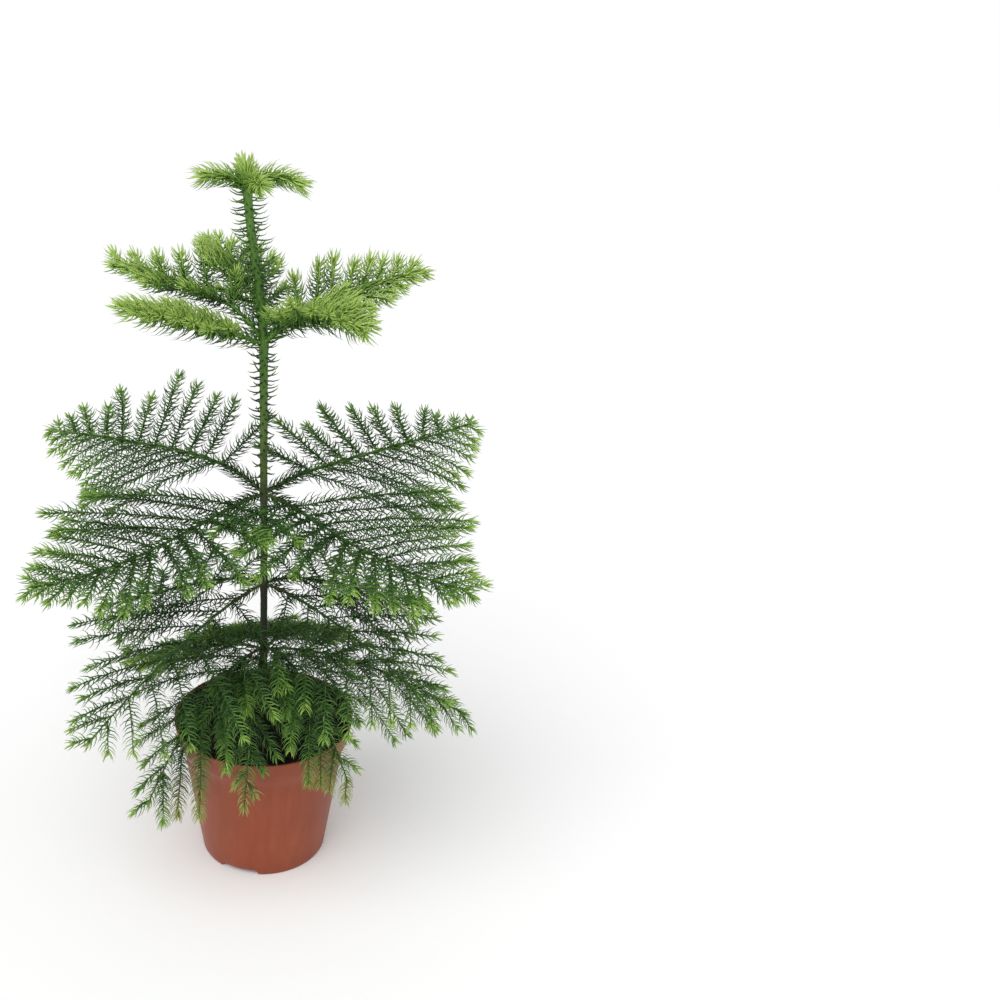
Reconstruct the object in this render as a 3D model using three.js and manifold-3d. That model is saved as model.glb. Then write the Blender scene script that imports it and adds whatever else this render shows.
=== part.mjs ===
import * as THREE from 'three';
import { mergeVertices } from 'three/addons/utils/BufferGeometryUtils.js';
import Module from 'manifold-3d';

// A young Norfolk Island pine in a round plastic pot.
// Millimetres, +Z up, origin at the centre of the pot's flat underside.
// Azimuths are in degrees from +X towards +Y.

const wasm = await Module();
wasm.setup();

// Driving dimensions.

const gap = 0.3; // clearance between touching solids
const clearance = 0.5; // extra room that a spray needs around itself

const potHeight = 107;
const potRimRadius = 64;
const potBandRadius = 62; // foot of the wide band under the rim
const potWaistRadius = 57.5; // top of the plain wall
const potFootRadius = 45;
const potBandHeight = 12;
const potShoulder = 11; // height of the soft step from the wall out to the band
const potFootRound = 2;
const potWall = 1.8;
const potFloor = 4;
const potSegments = 32;
const notchCount = 2; // drain notches in the foot
const notchAzimuth = 247;
const notchWidth = 27;
const notchHeight = 3;
const notchDepth = 4;

const soilTop = 95;
const trunkTop = 488;
const plantTop = 501;
const trunkSides = 8;
const leanStart = 385; // height where the leader starts to lean
const leanEnd = 490;
const leanOffset = -10; // sideways shift at the top
const leanStep = 25; // spacing of the rings that follow the lean
const footRadius = 3.3; // root flare at the soil
const flareHeight = 14;
const lowerRadius = 2.5;
const upperRadius = 2.8;
const nodeSwell = 1.2; // swelling where a whorl leaves the trunk
const nodeSpread = 5; // half its height

const trunkNeedleLength = 11;
const trunkNeedleRadius = 0.7;
const trunkNeedleStep = 4.3; // height from one needle to the next
const trunkNeedleFrom = 296;
const trunkNeedleRise = 18; // degrees above level
const whorlRoom = 12; // bare stretch of trunk on either side of a whorl
const goldenAngle = 137.5; // turn from one trunk needle to the next

const boughSides = 6;
const boughSteps = 2;
const boughTaper = 0.1; // how much wider a bough is at the trunk
const liftSettle = 0.15; // part of the reach in which a branch makes its first quick rise

const whorlHeight = { 1: 482, 2: 384, 3: 280, 4: 213, 5: 161 };

// Colours.

const terracottaPlastic = new THREE.MeshStandardMaterial({ color: 0x9a4f3a, roughness: 0.45, metalness: 0 });
const peat = new THREE.MeshStandardMaterial({ color: 0x15100c, roughness: 1, metalness: 0 });
const greenBark = new THREE.MeshStandardMaterial({ color: 0x4f7a2c, roughness: 0.6, metalness: 0 });
const oliveBark = new THREE.MeshStandardMaterial({ color: 0x545a2c, roughness: 0.8, metalness: 0 });
const needleGreen = {
  1: new THREE.MeshStandardMaterial({ color: 0x8dbb45, roughness: 0.5, metalness: 0 }),
  2: new THREE.MeshStandardMaterial({ color: 0x6fa23c, roughness: 0.5, metalness: 0 }),
  3: new THREE.MeshStandardMaterial({ color: 0x3c6b33, roughness: 0.5, metalness: 0 }),
  4: new THREE.MeshStandardMaterial({ color: 0x2c5429, roughness: 0.5, metalness: 0 }),
  5: new THREE.MeshStandardMaterial({ color: 0x31602b, roughness: 0.5, metalness: 0 }),
};

// How the branches grow.
// reach: how far the branch tip is from the trunk. lift: a quick rise next to the trunk.
// rise: height gained over the whole reach. bow: extra height at the middle. sweep: turn of the azimuth.
// Each branch carries a row of sprays on either side. The open side looks into the wide
// space between two branches of a whorl, and its sprays stand out more squarely.

const backHabit = {
  bare: 0.16, start: 0.18, last: 0.93, sprays: 7, tipAngle: 46, tipLength: 0.1, bend: 0.06,
  closed: { length: 88, angle: 51, tilt: -12, sag: 0.23, first: 0.95, longestAt: 0.25 },
  open: { length: 84, angle: 112, tilt: 20, sag: 0.02, first: 0.62, longestAt: 0.4 },
};
const frontHabit = {
  bare: 0.16, start: 0.14, last: 0.93, sprays: 6, tipAngle: 46, tipLength: 0.12, bend: 0.06,
  closed: { length: 101, angle: 46, tilt: 32, sag: 0.1, first: 1, longestAt: 0.25 },
  open: { length: 86, angle: 104, tilt: 10, sag: 0.16, first: 0.85, longestAt: 0.35 },
};
const youngHabit = {
  bare: 0.16, start: 0.2, last: 0.93, sprays: 5, tipAngle: 40, tipLength: 0.25, bend: 0.06,
  closed: { length: 38, angle: 62, tilt: 12, sag: -0.05, first: 0.8, longestAt: 0.35 },
  open: { length: 38, angle: 62, tilt: 18, sag: -0.05, first: 0.8, longestAt: 0.35 },
};
const lowHabit = {
  bare: 0.16, start: 0.16, last: 0.93, sprays: 4, tipAngle: 42, tipLength: 0.1, bend: 0.06,
  closed: { length: 53, angle: 62, tilt: 6, sag: 0.14, first: 0.9, longestAt: 0.25 },
  open: { length: 53, angle: 62, tilt: 6, sag: 0.14, first: 0.9, longestAt: 0.25 },
};

const branches = [
  { whorl: 1, name: 'left', azimuth: 176, reach: 33, rise: 0, lift: 4, bow: 3 },
  { whorl: 1, name: 'right', azimuth: 352, reach: 39, rise: -5, lift: 5, bow: 5 },
  { whorl: 1, name: 'front', azimuth: 288, reach: 31, rise: 1, lift: 4, bow: 2 },
  { whorl: 1, name: 'back', azimuth: 95, reach: 33, rise: 5, lift: 4, bow: 2 },

  { whorl: 2, name: 'right', azimuth: 15, reach: 110, rise: 35, lift: 8, bow: 4, habit: youngHabit,
    openAt: 1, closed: { tilt: -8, sag: 0.12 },
    open: { length: 38, angle: 78, tilt: 42, first: 0.9, longestAt: 0.3 } },
  { whorl: 2, name: 'back', azimuth: 104, reach: 90, rise: 40, lift: 9, bow: 6, habit: youngHabit,
    sweep: 14 },
  { whorl: 2, name: 'left', azimuth: 157, reach: 108, rise: 18, lift: 25, bow: 0, habit: youngHabit,
    openAt: -1, closed: { length: 44, tilt: 4 }, open: { length: 42, tilt: 24 } },
  { whorl: 2, name: 'front_left', azimuth: 208, reach: 96, rise: 34, lift: 0, bow: 3, habit: youngHabit,
    closed: { tilt: 4 } },
  { whorl: 2, name: 'front_right', azimuth: 312, reach: 93, rise: 24, lift: 3, bow: 14, habit: youngHabit,
    closed: { tilt: 14 } },

  { whorl: 3, name: 'back_left', azimuth: 149, reach: 182, rise: -14, lift: 25, bow: 0, habit: backHabit,
    openAt: -1, closed: { length: 80, sag: 0.28 },
    open: { length: 72, angle: 98, tilt: 24, first: 0.85, longestAt: 0.5 } },
  { whorl: 3, name: 'back_right', azimuth: 31, reach: 184, rise: 4, lift: 14, bow: -3, habit: backHabit,
    openAt: 1, open: { length: 76, tilt: 12, angle: 104, first: 0.7 } },
  { whorl: 3, name: 'front_left', azimuth: 216, reach: 165, rise: -46, lift: 14, bow: -8, habit: frontHabit,
    sweep: -10, openAt: 1 },
  { whorl: 3, name: 'front_right', azimuth: 321, reach: 155, rise: -50, lift: 15, bow: -8, habit: frontHabit,
    sweep: 10, openAt: -1 },

  { whorl: 4, name: 'back_left', azimuth: 150, reach: 145, rise: -72, lift: 15, bow: 0, habit: backHabit,
    openAt: -1, sprays: 6, closed: { length: 80, tilt: -14, sag: 0.22 }, open: { length: 56, tilt: 12 } },
  { whorl: 4, name: 'back_right', azimuth: 29, reach: 145, rise: -70, lift: 15, bow: 0, habit: backHabit,
    openAt: 1, sprays: 6, closed: { length: 80, tilt: -14, sag: 0.22 }, open: { length: 56, tilt: 12 } },
  { whorl: 4, name: 'front_left', azimuth: 208, reach: 138, rise: -98, lift: 6, bow: 8, habit: frontHabit,
    openAt: 1, closed: { length: 108, tilt: 12, first: 0.95 },
    open: { length: 84, angle: 100, tilt: -20, sag: 0.2, first: 0.85 } },
  { whorl: 4, name: 'front_right', azimuth: 332, reach: 136, rise: -76, lift: 6, bow: 8, habit: frontHabit,
    openAt: -1, closed: { length: 100, tilt: 12, first: 0.95 },
    open: { length: 78, angle: 68, tilt: -24, sag: 0.2, first: 0.85 } },

  { whorl: 5, name: 'back_left', azimuth: 150, reach: 125, rise: -55, lift: 8, bow: 4, habit: lowHabit },
  { whorl: 5, name: 'back', azimuth: 106, reach: 104, rise: -50, lift: 6, bow: 6, habit: lowHabit },
  { whorl: 5, name: 'back_right', azimuth: 62, reach: 122, rise: -52, lift: 8, bow: 4, habit: lowHabit },
  { whorl: 5, name: 'front_left', azimuth: 224, reach: 114, rise: -90, lift: 6, bow: 22, habit: lowHabit,
    openAt: 1, tipLength: 0.2, closed: { length: 68, angle: 54, sag: 0.24 },
    open: { length: 70, angle: 52, sag: 0.4, first: 0.6, longestAt: 0.45 } },
  { whorl: 5, name: 'front', azimuth: 262, reach: 99, rise: -84, lift: 6, bow: 24, habit: lowHabit,
    openAt: -1, closed: { length: 50, angle: 56, sag: 0.34 }, open: { length: 50, angle: 56, sag: 0.38 } },
  { whorl: 5, name: 'front_right', azimuth: 304, reach: 106, rise: -70, lift: 6, bow: 24, habit: lowHabit,
    openAt: -1, tipLength: 0.15, closed: { length: 60, angle: 58, sag: 0.14 },
    open: { length: 58, angle: 38, sag: 0.4, first: 0.55, longestAt: 0.5 } },
  { whorl: 5, name: 'right', azimuth: 350, reach: 150, rise: -50, lift: 6, bow: 12, habit: lowHabit,
    openAt: -1, tipLength: 0.15, closed: { length: 52 }, open: { length: 84, angle: 42, sag: 0.34 } },
];

// Sizes of the needle-clothed stems. rows: needles around the stem. pitch: needles along it.
const stemStyle = {
  1: { rows: 4, pitch: 6.5, coreBase: 1.7, coreTip: 1.2, needle: 10, bare: 7 },
  2: { rows: 3, pitch: 10, coreBase: 1.4, coreTip: 1.0, needle: 10, bare: 4 },
  3: { rows: 3, pitch: 14, coreBase: 1.5, coreTip: 0.9, needle: 9, bare: 4 },
  4: { rows: 3, pitch: 14, coreBase: 1.4, coreTip: 0.9, needle: 9, bare: 4 },
  5: { rows: 3, pitch: 14, coreBase: 1.2, coreTip: 0.9, needle: 9, bare: 4 },
};
const sprayStyle = {
  2: { rows: 3, pitch: 12, coreBase: 1.1, coreTip: 0.8, needle: 11, bare: 5 },
  3: { rows: 3, flat: true, pitch: 11, coreBase: 1.2, coreTip: 0.7, needle: 11, bare: 5 },
  4: { rows: 3, flat: true, pitch: 11.5, coreBase: 1.2, coreTip: 0.7, needle: 11, bare: 5 },
  5: { rows: 3, flat: true, pitch: 11.5, coreBase: 1.2, coreTip: 0.7, needle: 11, bare: 5 },
};
const leaderStyle = { rows: 5, pitch: 4, coreBase: 2.2, coreTip: 1.5, needle: 8, bare: 0 };
const needleLean = 48; // degrees between a needle and the square to its stem
const tuftShare = 0.6; // length of the needle at a stem's end, as part of the others
const handOffset = { 1: 0.6, [-1]: 0.35 }; // where in its step a spray leaves, left and right
const shortenSteps = [1, 0.8, 0.62, 0.45]; // lengths tried before a spray is skipped
const shortestSpray = 12;
const seed = 20;
const lengthVariety = 0.07;
const angleVariety = 4;
const tiltVariety = 6;

// Small helpers.

const rad = THREE.MathUtils.degToRad;
const up = new THREE.Vector3(0, 0, 1);
const steepest = 0.95; // a stem rising more steeply than this takes its left from X and not from Z
const across = new THREE.Vector3(1, 0, 0);

// Repeatable random numbers in -1..1, the same on every run.
function seededRandom(start) {
  let state = start;
  return () => {
    state = (state * 1103515245 + 12345) % 2147483648;
    return state / 1073741824 - 1;
  };
}

// A closed geometry as a solid that can be joined and cut.
function toSolid(geometry) {
  const bare = new THREE.BufferGeometry();
  bare.setAttribute('position', geometry.getAttribute('position'));
  if (geometry.index) bare.setIndex(geometry.index);
  const merged = mergeVertices(bare, 1e-4);
  return new wasm.Manifold(new wasm.Mesh({
    numProp: 3,
    vertProperties: new Float32Array(merged.getAttribute('position').array),
    triVerts: new Uint32Array(merged.index.array),
  }));
}

function toGeometry(solid) {
  const mesh = solid.getMesh();
  const geometry = new THREE.BufferGeometry();
  geometry.setAttribute('position', new THREE.BufferAttribute(new Float32Array(mesh.vertProperties), 3));
  geometry.setIndex(new THREE.BufferAttribute(new Uint32Array(mesh.triVerts), 1));
  geometry.computeVertexNormals();
  return geometry;
}

function piece(name, geometry, material) {
  const mesh = new THREE.Mesh(geometry, material);
  mesh.name = name;
  return mesh;
}

// Pot and soil.

// The outside of the wall from the foot up: [radius, height]
function wallProfile() {
  const bandFoot = potHeight - potBandHeight;
  const waist = bandFoot - potShoulder;
  return [
    [potFootRadius, potFootRound],
    [potWaistRadius, waist],
    [potBandRadius, bandFoot],
    [potRimRadius, potHeight - potWall / 2],
  ];
}

function wallRadius(height) {
  const profile = wallProfile();
  const top = Math.max(1, profile.findIndex(([, level]) => level >= height));
  const [lowRadius, low] = profile[top - 1];
  const [highRadius, high] = profile[top];
  return THREE.MathUtils.mapLinear(height, low, high, lowRadius, highRadius);
}

function turned(outline) {
  const geometry = new THREE.LatheGeometry(outline.map(([r, z]) => new THREE.Vector2(r, z)), potSegments);
  geometry.rotateX(Math.PI / 2); // the lathe turns about Y, the pot stands along Z
  return toSolid(geometry);
}

function potSolid() {
  const outside = wallProfile();
  const [, waist, band, rim] = outside;
  const inside = [rim, band, waist].map(([r, z]) => [r - potWall, z]);
  let solid = turned([
    [0, 0],
    [potFootRadius - potFootRound, 0],
    ...outside,
    [potRimRadius - potWall / 2, potHeight],
    ...inside,
    [wallRadius(potFloor) - potWall, potFloor],
    [0, potFloor],
  ]);
  for (let i = 0; i < notchCount; i += 1) {
    const notch = new THREE.BoxGeometry(2 * notchDepth, notchWidth, 2 * notchHeight);
    notch.translate(potFootRadius, 0, 0);
    notch.rotateZ(rad(notchAzimuth + (i * 360) / notchCount));
    solid = solid.subtract(toSolid(notch));
  }
  return solid;
}

function soilSolid() {
  const foot = potFloor + gap;
  const [, waist, band] = wallProfile().map(([, height]) => height);
  const side = [foot, waist, band, soilTop].map((height) => [wallRadius(height) - potWall - gap, height]);
  return turned([[0, foot], ...side, [0, soilTop]]);
}

// Trunk.

function trunkCentre(height) {
  const q = THREE.MathUtils.smoothstep(height, leanStart, leanEnd);
  return new THREE.Vector3(leanOffset * q, 0, height);
}

function trunkRadius(height) {
  const flare = (footRadius - lowerRadius) * Math.exp(-(2 * (height - soilTop)) / flareHeight);
  const stout = (upperRadius - lowerRadius) * THREE.MathUtils.smoothstep(height, 280, 380);
  let swell = 0;
  for (const level of Object.values(whorlHeight)) {
    swell += nodeSwell * Math.exp(-(((height - level) / nodeSpread) ** 2));
  }
  return lowerRadius + flare + stout + swell;
}

// Heights of the trunk's rings: close together at the whorls, and along the leaning top.
function trunkRings() {
  const rings = [soilTop + gap, soilTop + flareHeight];
  for (const level of Object.values(whorlHeight)) {
    rings.push(level - 2 * nodeSpread, level, level + 2 * nodeSpread);
  }
  for (let height = leanStart + leanStep; height < trunkTop; height += leanStep) rings.push(height);
  return [...rings.filter((height) => height < trunkTop), trunkTop].sort((a, b) => a - b);
}

// extra: how much fatter than the real trunk, for cutting its neighbours clear of it
function trunkLimb(extra) {
  const rings = trunkRings();
  const limb = new THREE.CylinderGeometry(1, 1, rings.length - 1, trunkSides, rings.length - 1);
  limb.rotateX(Math.PI / 2);
  limb.translate(0, 0, (rings.length - 1) / 2);
  const at = limb.getAttribute('position');
  for (let i = 0; i < at.count; i += 1) {
    const height = rings[Math.round(at.getZ(i))];
    const centre = trunkCentre(height);
    const radius = trunkRadius(height) + extra;
    at.setXYZ(i, centre.x + radius * at.getX(i), centre.y + radius * at.getY(i), height);
  }
  return toSolid(limb);
}

function trunkSolid() {
  let solid = trunkLimb(0);
  let turn = 0;
  for (let height = trunkNeedleFrom; height < whorlHeight[1] - whorlRoom; height += trunkNeedleStep) {
    turn += goldenAngle;
    if (Object.values(whorlHeight).some((level) => Math.abs(height - level) < whorlRoom)) continue;
    const needle = new THREE.ConeGeometry(trunkNeedleRadius, trunkNeedleLength, 3);
    needle.rotateX(Math.PI / 2);
    needle.rotateY(rad(90 - trunkNeedleRise));
    needle.translate(lowerRadius - 1 + trunkNeedleLength / 2, 0, 0);
    needle.rotateZ(rad(turn));
    needle.translate(...trunkCentre(height));
    solid = solid.add(toSolid(needle));
  }
  return solid;
}

// Branches.

function branchPoint(branch, t) {
  const azimuth = rad(branch.azimuth + (branch.sweep ?? 0) * t * t);
  const foot = trunkCentre(whorlHeight[branch.whorl]);
  const out = branch.reach * t;
  const climb = branch.lift * (1 - Math.exp(-t / liftSettle)) + branch.rise * t;
  const bow = branch.bow * 4 * t * (1 - t);
  return foot.add(new THREE.Vector3(out * Math.cos(azimuth), out * Math.sin(azimuth), climb + bow));
}

// The curve's own directions at t: along it, to its left and above it.
function frameOf(curve, t) {
  const step = 1e-3;
  const along = curve(t + step).sub(curve(t - step)).normalize();
  const reference = Math.abs(along.z) > steepest ? across : up;
  const left = new THREE.Vector3().crossVectors(reference, along).normalize();
  return { along, left, above: new THREE.Vector3().crossVectors(along, left) };
}

function lengthShare(side, branch, t) {
  if (t < side.longestAt) {
    const q = Math.max(0, (t - branch.start) / (side.longestAt - branch.start));
    return side.first + (1 - side.first) * q;
  }
  return 1 - (1 - branch.tipLength) * ((t - side.longestAt) / (1 - side.longestAt));
}

// The centre line of the side spray that leaves the branch at t, on side +1 (left) or -1 (right).
// vary holds the spray's own departures in length, angle and tilt, each in -1..1.
function sprayCurve(branch, t, hand, vary, scale) {
  const side = hand === branch.openAt ? branch.open : branch.closed;
  const { along, left, above } = frameOf((q) => branchPoint(branch, q), t);
  const share = Math.max(0, (t - branch.start) / (1 - branch.start)) ** 0.8;
  const angle = rad(side.angle + (branch.tipAngle - side.angle) * share + angleVariety * vary.angle);
  const tilt = rad(side.tilt + tiltVariety * vary.tilt);
  const length = scale * side.length * lengthShare(side, branch, t) * (1 + lengthVariety * vary.length);
  const outward = left.multiplyScalar(hand * Math.cos(tilt)).addScaledVector(above, Math.sin(tilt));
  const heading = along.clone().multiplyScalar(Math.cos(angle)).addScaledVector(outward, Math.sin(angle));
  const root = branchPoint(branch, t);
  const curve = (u) => root.clone()
    .addScaledVector(heading, length * u)
    .addScaledVector(along, length * branch.bend * u * u)
    .addScaledVector(up, -length * side.sag * u * u);
  return { curve, length };
}

// A stem clothed in needles along a curve, from the share `from` of its length to its end: a slim
// core whose faces, past the bare stretch, are each drawn out into one needle. On a flat stem the
// top face stays plain. extra makes it fatter all round.
function clothedStem(curve, length, from, style, extra = 0) {
  const { rows } = style;
  const needle = style.needle + extra;
  const bare = Math.min(style.bare, length / 2);
  const clothed = length * (1 - from) - bare - tuftShare * style.needle;
  const steps = Math.max(1, Math.round(clothed / style.pitch));
  const stations = bare > 0 ? [from] : [];
  for (let i = 0; i <= steps; i += 1) stations.push(from + (bare + (clothed * i) / steps) / length);
  const frames = stations.map((t, i) => ({
    ...frameOf(curve, t),
    centre: curve(t),
    radius: THREE.MathUtils.lerp(style.coreBase, style.coreTip, i / stations.length) + extra,
  }));
  const around = ({ left, above }, row) => {
    const turn = ((row - 0.5) / rows) * 2 * Math.PI;
    return above.clone().multiplyScalar(Math.cos(turn)).addScaledVector(left, -Math.sin(turn));
  };
  const corners = frames.flatMap((frame) => Array.from(
    { length: rows },
    (unused, row) => frame.centre.clone().addScaledVector(around(frame, row), frame.radius),
  ));
  const faces = [];
  for (let i = 0; i + 1 < frames.length; i += 1) {
    const low = i * rows;
    const high = low + rows;
    for (let row = 0; row < rows; row += 1) {
      const next = (row + 1) % rows;
      if ((bare > 0 && i === 0) || (style.flat && row === 0)) {
        faces.push([low + row, low + next, high + next], [low + row, high + next, high + row]);
        continue;
      }
      const reach = frames[i].radius / 2 + needle * Math.cos(rad(needleLean));
      const apex = frames[i].centre.clone().lerp(frames[i + 1].centre, 0.5)
        .addScaledVector(around(frames[i], row + 0.5), reach)
        .addScaledVector(frames[i].along, needle * Math.sin(rad(needleLean)));
      const tip = corners.push(apex) - 1;
      faces.push([low + row, low + next, tip], [low + next, high + next, tip]);
      faces.push([high + next, high + row, tip], [high + row, low + row, tip]);
    }
  }
  for (let row = 1; row + 1 < rows; row += 1) faces.push([0, row + 1, row]);
  const last = frames[frames.length - 1];
  const end = (frames.length - 1) * rows;
  const tuft = corners.push(last.centre.clone().addScaledVector(last.along, tuftShare * needle)) - 1;
  for (let row = 0; row < rows; row += 1) faces.push([end + row, end + ((row + 1) % rows), tuft]);
  const geometry = new THREE.BufferGeometry();
  geometry.setAttribute('position', new THREE.Float32BufferAttribute(corners.flatMap((c) => c.toArray()), 3));
  geometry.setIndex(faces.flat());
  return toSolid(geometry);
}

// The bare first stretch of a branch, a plain tapering limb from the trunk to the foliage.
function boughSolid(branch, trunkClear) {
  const end = branch.bare - gap / 2 / branch.reach;
  const limb = new THREE.CylinderGeometry(1, 1, 1, boughSides, boughSteps);
  limb.rotateX(Math.PI / 2);
  const at = limb.getAttribute('position');
  for (let i = 0; i < at.count; i += 1) {
    const q = at.getZ(i) + 0.5;
    const { left, above } = frameOf((s) => branchPoint(branch, s), q * end);
    const radius = stemStyle[branch.whorl].coreBase * (1 + boughTaper * (1 - q));
    const spot = branchPoint(branch, q * end)
      .addScaledVector(above, -radius * at.getX(i))
      .addScaledVector(left, radius * at.getY(i));
    at.setXYZ(i, ...spot);
  }
  return toSolid(limb).subtract(trunkClear);
}

// Putting the plant together.

const placed = []; // every solid that a spray has to keep clear of

function place(owner, solid) {
  placed.push({ owner, solid, box: solid.boundingBox() });
}

function boxesMeet(a, b) {
  return [0, 1, 2].every((k) => a.min[k] <= b.max[k] && b.min[k] <= a.max[k]);
}

function isFree(owner, solid) {
  const box = solid.boundingBox();
  return placed.every((other) => other.owner === owner || !boxesMeet(box, other.box)
    || solid.intersect(other.solid).isEmpty());
}

// A branch's bough and the stem of its foliage. A branch of the youngest whorl has no bough.
function placeStem(branch, trunkClear) {
  const style = stemStyle[branch.whorl];
  const from = branch.bare + gap / 2 / branch.reach;
  const stem = clothedStem((t) => branchPoint(branch, t), branch.reach, from, style);
  if (branch.sprays > 0) place(`bough${branch.whorl}_${branch.name}`, boughSolid(branch, trunkClear));
  place(`foliage${branch.whorl}_${branch.name}`, branch.sprays > 0 ? stem : stem.subtract(trunkClear));
}

// Tries ever shorter sprays until one is clear of everything that isn't its own stem.
function placeSpray(branch, t, hand, vary) {
  const owner = `foliage${branch.whorl}_${branch.name}`;
  const style = sprayStyle[branch.whorl];
  for (const scale of shortenSteps) {
    const { curve, length } = sprayCurve(branch, t, hand, vary, scale);
    if (length < shortestSpray) return;
    if (isFree(owner, clothedStem(curve, length, 0, style, clearance))) {
      place(owner, clothedStem(curve, length, 0, style));
      return;
    }
  }
}

function growFoliage() {
  const random = seededRandom(seed);
  const trunkClear = trunkLimb(gap);
  const grown = branches.map((plan) => {
    const habit = plan.habit ?? { bare: 0, sprays: 0 };
    const closed = { ...habit.closed, ...plan.closed };
    const open = { ...habit.open, ...plan.open };
    return { ...habit, ...plan, closed, open };
  });
  for (const branch of grown) placeStem(branch, trunkClear);
  for (const branch of grown) {
    const step = (branch.last - branch.start) / branch.sprays;
    for (let i = 0; i < branch.sprays; i += 1) {
      for (const hand of [1, -1]) {
        const vary = { length: random(), angle: random(), tilt: random() };
        placeSpray(branch, branch.start + step * (i + handOffset[hand]), hand, vary);
      }
    }
  }
}

function materialOf(owner) {
  if (owner === 'pot') return terracottaPlastic;
  if (owner === 'soil') return peat;
  if (owner === 'trunk') return greenBark;
  if (owner === 'leader') return needleGreen[1];
  if (owner.startsWith('bough')) return oliveBark;
  return needleGreen[owner.charAt('foliage'.length)];
}

place('pot', potSolid());
place('soil', soilSolid());
place('trunk', trunkSolid());
const leaderLength = plantTop - trunkTop - gap;
const leaderPoint = (t) => trunkCentre(trunkTop + gap + leaderLength * t);
place('leader', clothedStem(leaderPoint, leaderLength, 0, leaderStyle));
growFoliage();

const plant = new THREE.Group();
for (const owner of new Set(placed.map((entry) => entry.owner))) {
  const solids = placed.filter((entry) => entry.owner === owner).map((entry) => entry.solid);
  plant.add(piece(owner, toGeometry(solids.reduce((whole, solid) => whole.add(solid))), materialOf(owner)));
}

export default plant;
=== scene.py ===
# A young Norfolk Island pine in a terracotta-coloured plastic pot.
# The growth rule works in millimetres, and its meshes are scaled to metres as they are made.
import math

import bpy
import numpy as np
from mathutils import Matrix, Vector


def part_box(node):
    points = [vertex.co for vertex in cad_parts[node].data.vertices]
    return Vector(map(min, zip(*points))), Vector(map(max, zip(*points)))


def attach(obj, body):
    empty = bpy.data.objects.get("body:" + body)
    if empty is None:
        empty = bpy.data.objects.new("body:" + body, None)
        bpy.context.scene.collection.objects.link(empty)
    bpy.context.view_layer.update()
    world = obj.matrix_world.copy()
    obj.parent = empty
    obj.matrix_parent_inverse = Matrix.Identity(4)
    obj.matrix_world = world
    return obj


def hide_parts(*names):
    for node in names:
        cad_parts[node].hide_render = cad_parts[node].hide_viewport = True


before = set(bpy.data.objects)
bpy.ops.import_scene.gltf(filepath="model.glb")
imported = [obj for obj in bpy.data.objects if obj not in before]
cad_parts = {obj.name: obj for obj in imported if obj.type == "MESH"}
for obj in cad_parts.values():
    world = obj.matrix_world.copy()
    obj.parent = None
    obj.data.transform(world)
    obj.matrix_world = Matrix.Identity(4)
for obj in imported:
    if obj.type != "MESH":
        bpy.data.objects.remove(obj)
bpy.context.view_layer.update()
nodeNames = sorted(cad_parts)
mm = 0.001
print("frame:", len(nodeNames), "nodes")


# Small tools

def linear(hexColour):  # sRGB hex to the linear colour that Blender works in
    parts = [int(hexColour[i:i + 2], 16) / 255 for i in (1, 3, 5)]
    return [c / 12.92 if c <= 0.04045 else ((c + 0.055) / 1.055) ** 2.4 for c in parts] + [1.0]


def addNode(material, kind, settings={}, links={}):
    node = material.node_tree.nodes.new(kind)
    for name, value in settings.items():
        if isinstance(name, str) and hasattr(node, name):
            setattr(node, name, value)
        else:
            node.inputs[name].default_value = value
    for name, source in links.items():
        material.node_tree.links.new(source, node.inputs[name])
    return node


def setStops(ramp, stops):  # stops: (place, hex colour) from left to right
    elements = ramp.color_ramp.elements
    while len(elements) < len(stops):
        elements.new(0.5)
    for element, (place, colour) in zip(elements, stops):
        element.position = place
        element.color = linear(colour)


def startMaterial(name, roughness, ior=1.5):
    material = bpy.data.materials.new(name)
    material.use_nodes = True
    shader = material.node_tree.nodes["Principled BSDF"]
    shader.inputs["Roughness"].default_value = roughness
    shader.inputs["IOR"].default_value = ior
    return material, shader


def plug(material, source, shader, name):
    material.node_tree.links.new(source, shader.inputs[name])


def finishPiece(piece, name, material, nodes):
    piece.name = name
    piece.data.name = name
    piece.data.materials.clear()
    piece.data.materials.append(material)
    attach(piece, "root")
    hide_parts(*nodes)


def nodesNamed(start):
    return [name for name in nodeNames if name.startswith(start)]


# Camera, light and floor

studio = {
    "cameraPlace": (0.0, -0.800, 0.627),
    "lookDownDeg": 23.6,
    "lookRightDeg": 5.57,
    "rollDeg": 2.2,
    "lens": 46.84,
    "shiftX": 0.12,
    "clipEnd": 200.0,
    "floorSize": 60.0,
    "floorColour": "#FAFAF9",
    "floorRoughness": 0.9,
    "worldColour": "#FBFCFD",
    "worldStrength": 0.62,
    "keyFrom": (-0.55, -0.85, 1.15),
    "keyStrength": 2.0,
    "keySoftnessDeg": 70.0,
    "fillFrom": (1.3, -0.9, 0.9),
    "fillAimHeight": 0.24,
    "fillSize": 1.4,
    "fillWatts": 3.0,
}


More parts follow.
